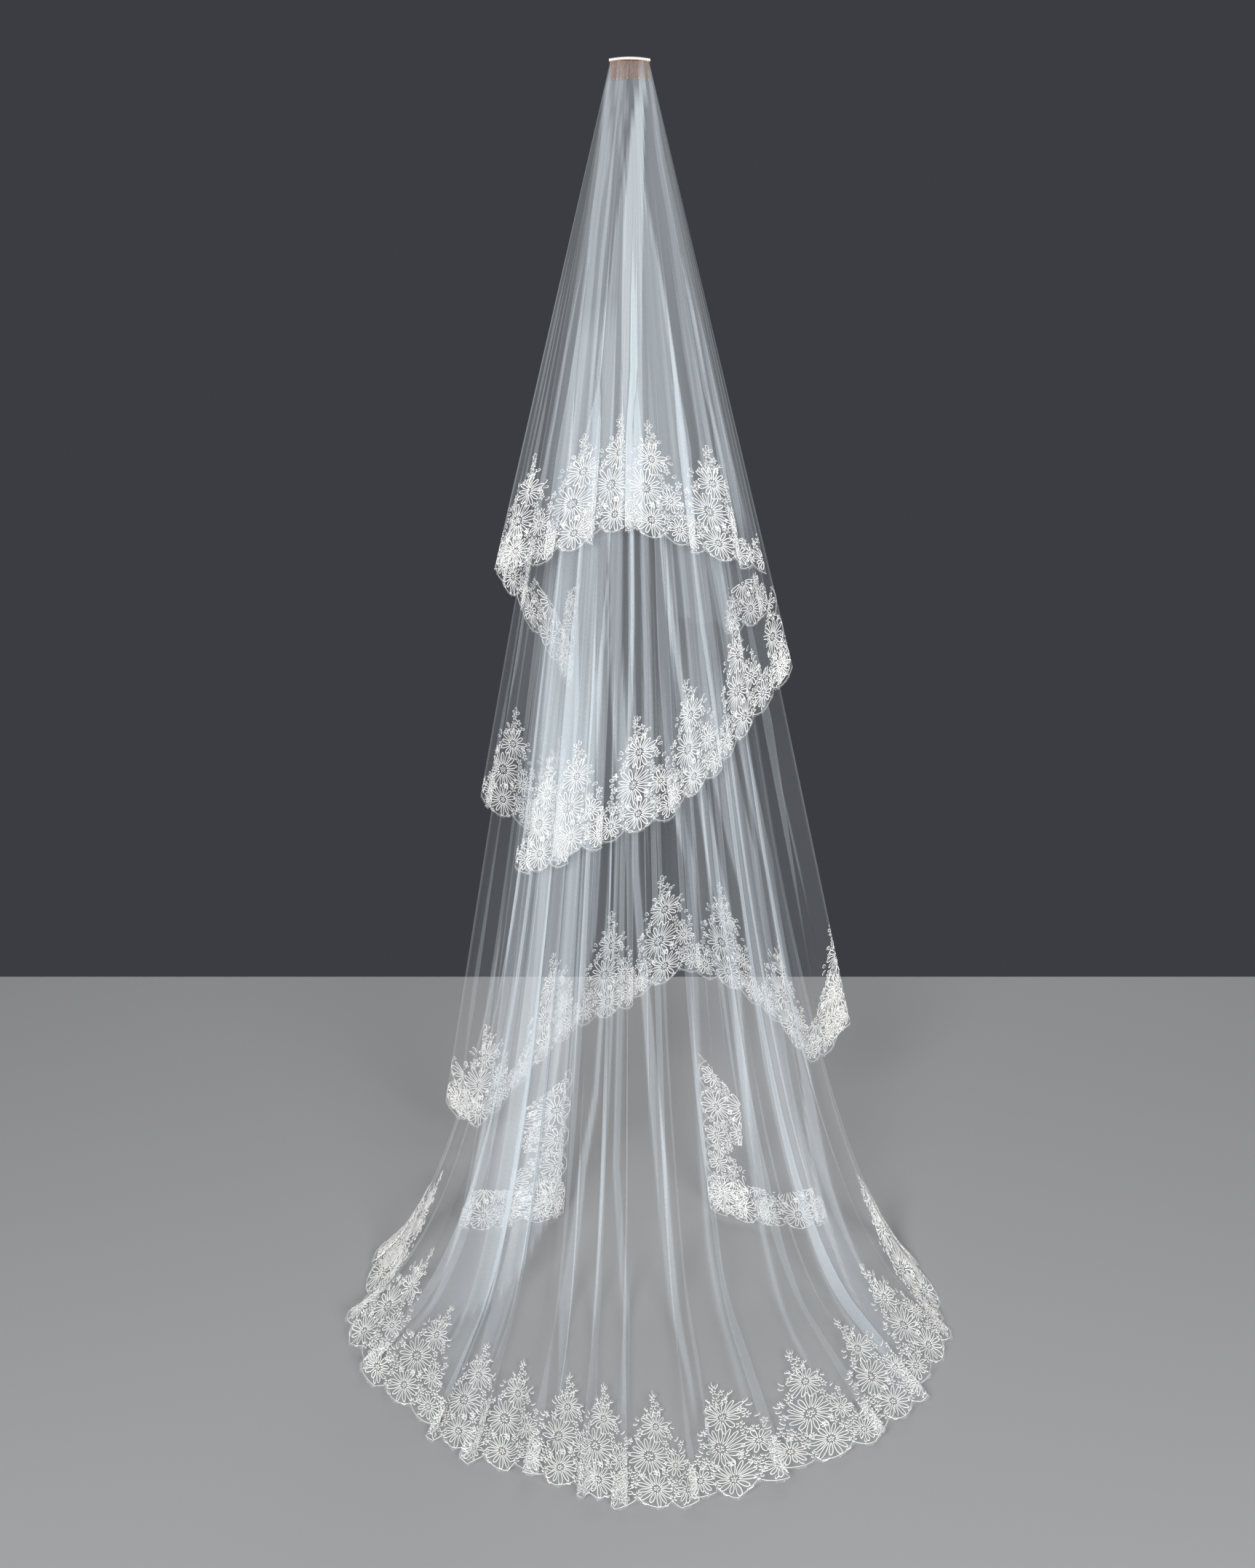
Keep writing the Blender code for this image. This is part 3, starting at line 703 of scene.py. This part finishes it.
def tulle(name):
    """Soft nylon tulle: mostly holes, so it veils what is behind; more where it lies thicker."""
    made = bpy.data.materials.new(name)
    made.use_nodes = True
    tree = made.node_tree
    shader = tree.nodes["Principled BSDF"]
    shader.inputs["Base Color"].default_value = linear("#DAE3E9")
    shader.inputs["Roughness"].default_value = 0.55
    shader.inputs["Sheen Weight"].default_value = 0.25
    count = add(tree, "ShaderNodeAttribute", attribute_name="thicknesses")
    # the net's holes are 1 mm wide, too fine to show, so they are drawn as a 4 mm grain
    place = add(tree, "ShaderNodeTexCoord")
    grain = add(tree, "ShaderNodeTexNoise", Scale=250.0, Detail=1.0)
    spread = add(tree, "ShaderNodeMapRange", From_Min=0.3, From_Max=0.7, To_Min=0.93, To_Max=1.07)
    knotted = add(tree, "ShaderNodeMath", operation="MULTIPLY")
    open_part = add(tree, "ShaderNodeMath", operation="POWER")
    open_part.inputs[0].default_value = 1 - NET_COVER
    covered = add(tree, "ShaderNodeMath", operation="SUBTRACT")
    covered.inputs[0].default_value = 1.0
    tree.links.new(place.outputs["UV"], grain.inputs["Vector"])
    tree.links.new(grain.outputs["Fac"], spread.inputs["Value"])
    tree.links.new(count.outputs["Fac"], knotted.inputs[0])
    tree.links.new(spread.outputs["Result"], knotted.inputs[1])
    tree.links.new(knotted.outputs["Value"], open_part.inputs[1])
    tree.links.new(open_part.outputs["Value"], covered.inputs[1])
    tree.links.new(covered.outputs["Value"], shader.inputs["Alpha"])
    return made


HANGING_SHARES = np.concatenate([np.linspace(0, 0.8, 17), np.linspace(0.84, 1, 7)])
TRAIN_SHARES = np.concatenate([np.linspace(0, 0.4, 10), np.linspace(0.43, 1, 54)])

cloths = {}
for row in LAYERS:
    cloth = Cloth(*row)
    cloths[cloth.name] = cloth
    shares = TRAIN_SHARES if cloth.on_floor else HANGING_SHARES
    net = net_sheet(cloth, shares)
    net.data.materials.append(tulle(cloth.name.replace("_", " ") + " nylon tulle"))
    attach(net, "root")
    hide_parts(cloth.name + "_net")


# ==== Lace ====
# Corded flower lace, sewn along each hem: fine cord follows daisies, small blossoms and buds on a
# net ground, in peaks that taper up the cloth, over scallops with an eyelash fringe.

CORD = 0.0013
FINE_CORD = 0.0008
CORD_RISE = 0.0007
LACE_OFF = 0.0006           # between the net and the lace
PLACE_STEP = 0.004          # half steps along and down the cloth over which its slope is taken
SHARE_STEP = 0.002
UPPER_SPREAD = 0.2          # how much wider the small loops of a peak's upper part lie
SPREAD_FROM = 0.08          # how far up the hem that starts, and over how far it grows
SPREAD_OVER = 0.03
PETAL_SHARE = 0.80          # of the way from one petal to the next

# Daisies. Columns: across from the peak's middle, up from the hem, radius, petals, centre's radius
DAISIES = (
    (0.000, 0.033, 0.0310, 13, 0.0060), (-0.010, 0.091, 0.0370, 15, 0.0085),
    (0.004, 0.148, 0.0310, 13, 0.0062), (0.041, 0.079, 0.0220, 10, 0.0044),
    (0.058, 0.028, 0.0225, 10, 0.0048), (-0.057, 0.029, 0.0230, 11, 0.0050),
)
# Blossoms of five petals. Columns: across, up, radius
BLOSSOMS = (
    (-0.033, 0.047, 0.0078), (-0.031, 0.060, 0.0070), (-0.044, 0.056, 0.0072),
    (0.029, 0.050, 0.0072), (0.041, 0.048, 0.0070), (0.033, 0.039, 0.0062),
    (-0.029, 0.020, 0.0066), (0.030, 0.019, 0.0066), (0.081, 0.024, 0.0080),
    (-0.081, 0.040, 0.0074), (0.074, 0.046, 0.0070), (0.024, 0.106, 0.0070),
    (0.034, 0.104, 0.0068), (0.020, 0.119, 0.0062), (-0.026, 0.127, 0.0068),
    (-0.003, 0.173, 0.0076), (-0.046, 0.066, 0.0070), (-0.052, 0.054, 0.0062),
    (0.020, 0.062, 0.0062), (0.054, 0.056, 0.0066), (0.064, 0.054, 0.0060),
    (-0.020, 0.054, 0.0056), (-0.070, 0.052, 0.0064), (-0.084, 0.024, 0.0070),
    (0.083, 0.038, 0.0066), (-0.034, 0.037, 0.0060), (0.037, 0.029, 0.0056),
    (-0.038, 0.118, 0.0060), (0.009, 0.175, 0.0068), (0.000, 0.185, 0.0070),
    (0.008, 0.193, 0.0058), (-0.001, 0.200, 0.0058), (0.029, 0.133, 0.0062),
    (-0.022, 0.137, 0.0062), (-0.014, 0.166, 0.0056), (-0.045, 0.094, 0.0064),
    (0.046, 0.114, 0.0058), (0.060, 0.076, 0.0060), (-0.060, 0.064, 0.0062),
    (0.076, 0.056, 0.0062), (0.024, 0.147, 0.0050), (0.000, 0.062, 0.0052),
    (0.016, 0.071, 0.0052),
)
# Small loops on their own, in twos and threes. Columns: foot across, foot up, direction in degrees,
# length
BUDS = (
    (0.002, 0.206, 50, 0.012), (0.001, 0.208, 95, 0.015), (0.000, 0.205, 140, 0.012),
    (0.014, 0.182, 30, 0.012), (0.012, 0.178, 70, 0.012), (-0.009, 0.178, 150, 0.012),
    (-0.010, 0.174, 110, 0.012), (0.030, 0.150, 0, 0.012), (0.028, 0.156, 45, 0.013),
    (-0.024, 0.156, 135, 0.013), (-0.026, 0.150, 180, 0.012), (-0.040, 0.112, 150, 0.013),
    (-0.040, 0.106, 190, 0.012), (-0.036, 0.116, 100, 0.012), (0.046, 0.096, 20, 0.013),
    (0.044, 0.100, 65, 0.013), (-0.052, 0.074, 170, 0.013), (-0.050, 0.078, 125, 0.013),
    (0.060, 0.060, 70, 0.013), (0.066, 0.056, 25, 0.012), (-0.066, 0.058, 130, 0.013),
    (-0.072, 0.052, 80, 0.012), (0.084, 0.044, 80, 0.012), (0.012, 0.060, 65, 0.013),
    (0.012, 0.004, 20, 0.012), (-0.012, 0.004, 160, 0.012), (0.047, 0.004, 60, 0.011),
    (-0.046, 0.004, 120, 0.011), (-0.072, 0.007, 80, 0.011), (0.072, 0.007, 100, 0.011),
    (0.036, 0.124, 30, 0.012),
)

lace_flat = bmesh.new()


def loop(across, up, direction, near, far, width, sides, kind):
    """A teardrop outline from near to far of a point, kept with the loops of its cord's kind."""
    made = bmesh.ops.create_circle(lace_flat, cap_ends=True, segments=sides, radius=0.5)["verts"]
    for vert in made:
        outer = vert.co.x + 0.5
        vert.co = (near + (far - near) * outer, vert.co.y * width * (0.55 + 0.65 * outer), 0.0)
    turn = Matrix.Translation((across, up, 0.0)) @ Matrix.Rotation(direction, 4, "Z")
    bmesh.ops.transform(lace_flat, matrix=turn, verts=made)
    kind.append(made[0].link_faces[0])


def spread(across, up):
    return across * (1.0 + UPPER_SPREAD * smoothstep((up - SPREAD_FROM) / SPREAD_OVER))


heavy, fine = [], []
for n, (across, up, radius, petals, eye) in enumerate(DAISIES):
    for petal in range(petals):
        direction = 2 * math.pi * (petal + 0.3 * n) / petals
        far = radius * (1.0 + 0.09 * math.sin(petal * 2.6 + n))
        width = 2 * math.pi * (eye + 0.6 * (far - eye)) / petals * PETAL_SHARE
        loop(across, up, direction, eye, far, width, 9, heavy)
    for seed in range(5):
        direction = 2 * math.pi * (seed + 0.5 * n) / 5
        loop(across, up, direction, eye * 0.15, eye * 0.85, eye * 0.62, 6, fine)
for n, (across, up, radius) in enumerate(BLOSSOMS):
    across = spread(across, up)
    for petal in range(5):
        direction = 2 * math.pi * (petal + 0.37 * n) / 5
        loop(across, up, direction, radius * 0.2, radius * 1.1, radius * 0.66, 6, fine)
for across, up, degrees, length in BUDS:
    across = spread(across, up)
    loop(across, up, math.radians(degrees), 0.0, length * 0.85, length * 0.5, 7, fine)
# a heavy cord is raised and falls again, a fine one only rises
for kind, width, rises in (
    (heavy, CORD / 2, (CORD_RISE, -CORD_RISE)), (fine, FINE_CORD, (CORD_RISE,)),
):
    for rise in rises:
        bmesh.ops.inset_individual(
            lace_flat, faces=kind, thickness=width, depth=rise, use_even_offset=True,
        )
    for face in kind:
        face.material_index = 1


def strip(points, width, rise):
    """A cord laid along points, raised along its middle."""
    segments = len(points) - 1
    made = bmesh.ops.create_grid(lace_flat, x_segments=segments, y_segments=2, size=1.0)["verts"]
    steps = np.gradient(np.array(points), axis=0)
    for vert in made:
        n = round((vert.co.x + 1) / 2 * segments)
        side = np.array((-steps[n][1], steps[n][0])) / np.linalg.norm(steps[n])
        side *= width / 2 * vert.co.y
        vert.co = (points[n][0] + side[0], points[n][1] + side[1], rise * (1 - abs(vert.co.y)))


EDGE_STEPS = 60
EDGE_CORD = 0.00064
EDGE_CORD_UP = 0.0008
HAIRS = 96
HAIR = 0.0045
HAIR_STRAY = 0.0012
HAIR_WIDTH = 0.00028
HAIR_RISE = 0.0001

half = FLAT_REPEAT / 2
edge_points = []
for n in range(EDGE_STEPS + 1):
    across = -half + FLAT_REPEAT * n / EDGE_STEPS
    edge_points.append((across, scallop(across / FLAT_REPEAT) + EDGE_CORD_UP))
strip(edge_points, EDGE_CORD, CORD_RISE)
for n in range(HAIRS):
    across = -half + FLAT_REPEAT * (n + 0.5) / HAIRS
    # uneven lengths and leanings, from sines of the hair's number
    length = HAIR * (0.65 + 0.35 * math.sin(n * 12.9898))
    stray = HAIR_STRAY * math.sin(n * 5.1)
    foot = scallop(across / FLAT_REPEAT)
    strip([(across, foot), (across + stray, foot - length)], HAIR_WIDTH, HAIR_RISE)

lace_flat.verts.ensure_lookup_table()
motif_verts = np.array([vert.co for vert in lace_flat.verts])
motif_faces = [[vert.index for vert in face.verts] for face in lace_flat.faces]
motif_kinds = [face.material_index for face in lace_flat.faces]
lace_flat.free()


# Lace that turns the corner and runs up a layer's side edge. Columns: layer, side (0 left, 1
# right), repeats of the lace up the edge, where in the repeat it starts, how far it reaches in
SIDE_LACE = (
    ("train_left_fall", 1, 1.8, 0.30, 0.080), ("train_right_fall", 0, 1.9, 0.30, 0.085),
    ("tier_one_left_fall", 1, 1.3, 0.30, 0.050), ("tier_two", 1, 1.1, 0.55, 0.055),
    ("tier_three", 0, 0.7, 0.55, 0.100), ("tier_three", 1, 0.9, 0.55, 0.120),
    ("train", 0, 1.0, 0.55, 0.150), ("train", 1, 1.0, 0.55, 0.150),
)
SIDE_FROM = 0.04            # repeats above the hem at which it starts
SIDE_TAPER = 0.45           # and over which it tapers at its end
SIDE_STEP = 0.1             # repeats in from the edge over which the layer's width is taken
TOP_OF_LACE = 0.1           # share of the way down above which there is no lace


def lay_flat_lace(cloth, places, shares):
    """The flat lace's points laid on the folded cloth, on its outer side."""
    here = cloth.point(places, shares)
    across = cloth.point(places + PLACE_STEP, shares) - cloth.point(places - PLACE_STEP, shares)
    down = cloth.point(places, shares + SHARE_STEP) - cloth.point(places, shares - SHARE_STEP)
    facing = np.cross(down, across)
    facing /= np.maximum(np.linalg.norm(facing, axis=1, keepdims=True), 1e-9)
    return here + facing * (LACE_OFF + motif_verts[:, 2:3])


# Where the lace is lower along the hem. Columns: lace repeat, how far up it reaches
LOW_LACE = {
    "train_left_fall": ((0.0, 0.085), (2.0, 0.085)),
    "train_right_fall": ((0.0, 0.080), (2.0, 0.080)),
    "tier_one_right_fall": ((0.0, 0.0), (1.0, 0.0), (1.2, 0.090), (2.0, 0.090)),
    "tier_one_left_fall": ((0.0, 0.220), (0.6, 0.110), (2.0, 0.080)),
    "tier_two": ((0.0, 0.220), (4.6, 0.220), (4.9, 0.085), (5.3, 0.085)),
}
LACE_HEIGHT = {"train": 1.18}    # the train's lace is worked taller


def lace_border(cloth, looks):
    """One repeat after another of the flat lace, along the hem and up the side edges."""
    laid = []
    for k in range(-1, round(cloth.repeats) + 2):
        places = cloth.first_peak + k + motif_verts[:, 0] / FLAT_REPEAT
        inside = (places >= -0.001) & (places <= cloth.repeats + 0.001)
        if cloth.name in LOW_LACE:
            inside &= motif_verts[:, 1] < np.interp(places, *np.array(LOW_LACE[cloth.name]).T)
        lengths = np.interp(places, cloth.along, cloth.lengths)
        tall = LACE_HEIGHT.get(cloth.name, 1.0)
        laid.append((places, 1 - tall * motif_verts[:, 1] / lengths, inside))
    for name, right, repeats, start, reach in SIDE_LACE:
        if name != cloth.name:
            continue
        length = cloth.lengths[-1 if right else 0]
        for k in range(-1, 3):
            up = start + k + (motif_verts[:, 0] if right else -motif_verts[:, 0]) / FLAT_REPEAT
            shares = 1 - up * FLAT_REPEAT / length
            edge = np.full(len(shares), cloth.repeats if right else 0.0)
            near = edge - SIDE_STEP if right else edge + SIDE_STEP
            level = np.clip(shares, TOP_OF_LACE, 1.0)
            apart = cloth.base(near, level) - cloth.base(edge, level)
            width = np.linalg.norm(apart, axis=1) / SIDE_STEP
            inward = motif_verts[:, 1] / width
            tapered = reach * np.clip((repeats - up) / SIDE_TAPER, 0, 1)
            inside = (up > SIDE_FROM) & (motif_verts[:, 1] < tapered)
            laid.append((cloth.repeats - inward if right else inward, shares, inside))
    verts, faces, kinds = [], [], []
    first = 0
    for places, shares, inside in laid:
        if not inside.any():
            continue
        verts.append(lay_flat_lace(cloth, places, np.clip(shares, TOP_OF_LACE, 1.002)))
        for face, kind in zip(motif_faces, motif_kinds):
            if all(inside[i] for i in face):
                faces.append([first + i for i in face])
                kinds.append(kind)
        first += len(places)
    mesh = bpy.data.meshes.new(cloth.name + "_corded_lace")
    mesh.from_pydata(np.concatenate(verts).tolist(), [], faces)
    for look in looks:
        mesh.materials.append(look)
    mesh.polygons.foreach_set("material_index", kinds)
    trimmed = bmesh.new()
    trimmed.from_mesh(mesh)
    loose = [vert for vert in trimmed.verts if not vert.link_faces]
    bmesh.ops.delete(trimmed, geom=loose, context="VERTS")
    trimmed.to_mesh(mesh)
    trimmed.free()
    mesh.shade_smooth()
    made = bpy.data.objects.new(cloth.name + "_corded_lace", mesh)
    bpy.context.scene.collection.objects.link(made)
    return made


cord_look = bpy.data.materials.new("ivory cotton cord")
cord_look.use_nodes = True
tree = cord_look.node_tree
shader = tree.nodes["Principled BSDF"]
# matt twisted cord, with slightly uneven ivory tone
shader.inputs["Roughness"].default_value = 0.7
shader.inputs["Sheen Weight"].default_value = 0.3
place = add(tree, "ShaderNodeTexCoord")
twist = add(tree, "ShaderNodeTexNoise", Scale=900.0, Detail=2.0)
tone = add(tree, "ShaderNodeMix", data_type="RGBA")
tone.inputs["A"].default_value = linear("#EDECE8")
tone.inputs["B"].default_value = linear("#FBFBFA")
ridge = add(tree, "ShaderNodeBump", Strength=0.4, Distance=0.0002)
tree.links.new(place.outputs["Object"], twist.inputs["Vector"])
tree.links.new(twist.outputs["Fac"], tone.inputs["Factor"])
tree.links.new(tone.outputs["Result"], shader.inputs["Base Color"])
tree.links.new(twist.outputs["Fac"], ridge.inputs["Height"])
tree.links.new(ridge.outputs["Normal"], shader.inputs["Normal"])

petal_look = bpy.data.materials.new("close net inside the petals")
petal_look.use_nodes = True
tree = petal_look.node_tree
shader = tree.nodes["Principled BSDF"]
# close-woven net that fills each petal, a little denser than the tulle and mostly see-through
shader.inputs["Base Color"].default_value = linear("#EEF1F3")
shader.inputs["Roughness"].default_value = 0.7
place = add(tree, "ShaderNodeTexCoord")
weave = add(tree, "ShaderNodeTexNoise", Scale=700.0, Detail=1.0)
cover = add(tree, "ShaderNodeMapRange", From_Min=0.3, From_Max=0.7, To_Min=0.02, To_Max=0.1)
tree.links.new(place.outputs["Object"], weave.inputs["Vector"])
tree.links.new(weave.outputs["Fac"], cover.inputs["Value"])
tree.links.new(cover.outputs["Result"], shader.inputs["Alpha"])

for name, cloth in cloths.items():
    lace = lace_border(cloth, (cord_look, petal_look))
    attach(lace, "root")
    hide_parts(name + "_lace")


# ==== Floor, lights and camera ====
# A pale matt floor that ends just behind the veil, soft lights in front and behind, and a camera at
# the comb's height that looks down along the train.

FLOOR = "#9B9B9C"
FLOOR_MIDDLE = -1.35
FLOOR_HALF_WIDTH = 2.6
FLOOR_HALF_DEPTH = 1.6
BACKGROUND = "#3C3D42"
CAMERA_AWAY = 3.557
CAMERA_SIDE = -0.004
CAMERA_PITCH = 22.58
LENS = 40.07

ground = bmesh.new()
bmesh.ops.create_grid(ground, x_segments=1, y_segments=1, size=1.0)
bmesh.ops.transform(
    ground, verts=ground.verts,
    matrix=Matrix.Translation((0.0, FLOOR_MIDDLE, -FLOOR_DROP))
    @ Matrix.Diagonal((FLOOR_HALF_WIDTH, FLOOR_HALF_DEPTH, 1.0, 1.0)),
)
mesh = bpy.data.meshes.new("floor")
ground.to_mesh(mesh)
ground.free()
floor = bpy.data.objects.new("floor", mesh)
bpy.context.scene.collection.objects.link(floor)
floor_paint = bpy.data.materials.new("pale matt floor paint")
floor_paint.use_nodes = True
shader = floor_paint.node_tree.nodes["Principled BSDF"]
shader.inputs["Base Color"].default_value = linear(FLOOR)
shader.inputs["Roughness"].default_value = 0.9
floor.data.materials.append(floor_paint)

world = bpy.data.worlds.new("dark studio")
world.use_nodes = True
world.node_tree.nodes["Background"].inputs["Color"].default_value = linear(BACKGROUND)
bpy.context.scene.world = world

# Columns: name, place, what it points at, size, power
LIGHTS = (
    ("key", (-2.2, -5.2, 1.6), (0.0, -0.5, -1.0), 2.6, 300.0),
    ("fill", (2.6, -4.8, 0.4), (0.0, -0.6, -1.1), 2.6, 180.0),
    ("back", (1.2, 4.6, 1.4), (0.0, -0.5, -1.0), 2.4, 120.0),
)
for name, spot, target, size, power in LIGHTS:
    light = bpy.data.lights.new(name, "AREA")
    light.shape = "DISK"
    light.size = size
    light.energy = power
    lamp = bpy.data.objects.new(name, light)
    lamp.location = spot
    lamp.rotation_euler = (Vector(target) - Vector(spot)).to_track_quat("-Z", "Y").to_euler()
    bpy.context.scene.collection.objects.link(lamp)

camera_data = bpy.data.cameras.new("camera")
camera_data.lens = LENS
camera_data.sensor_width = 36.0
camera_data.clip_end = 100.0
camera = bpy.data.objects.new("camera", camera_data)
camera.location = (CAMERA_SIDE, -CAMERA_AWAY, 0.0)
camera.rotation_euler = (math.radians(90 - CAMERA_PITCH), 0.0, 0.0)
bpy.context.scene.collection.objects.link(camera)
bpy.context.scene.camera = camera
# light passes the many layers of net, and colours are shown plainly
bpy.context.scene.cycles.transparent_max_bounces = 64
bpy.context.scene.view_settings.view_transform = "Standard"
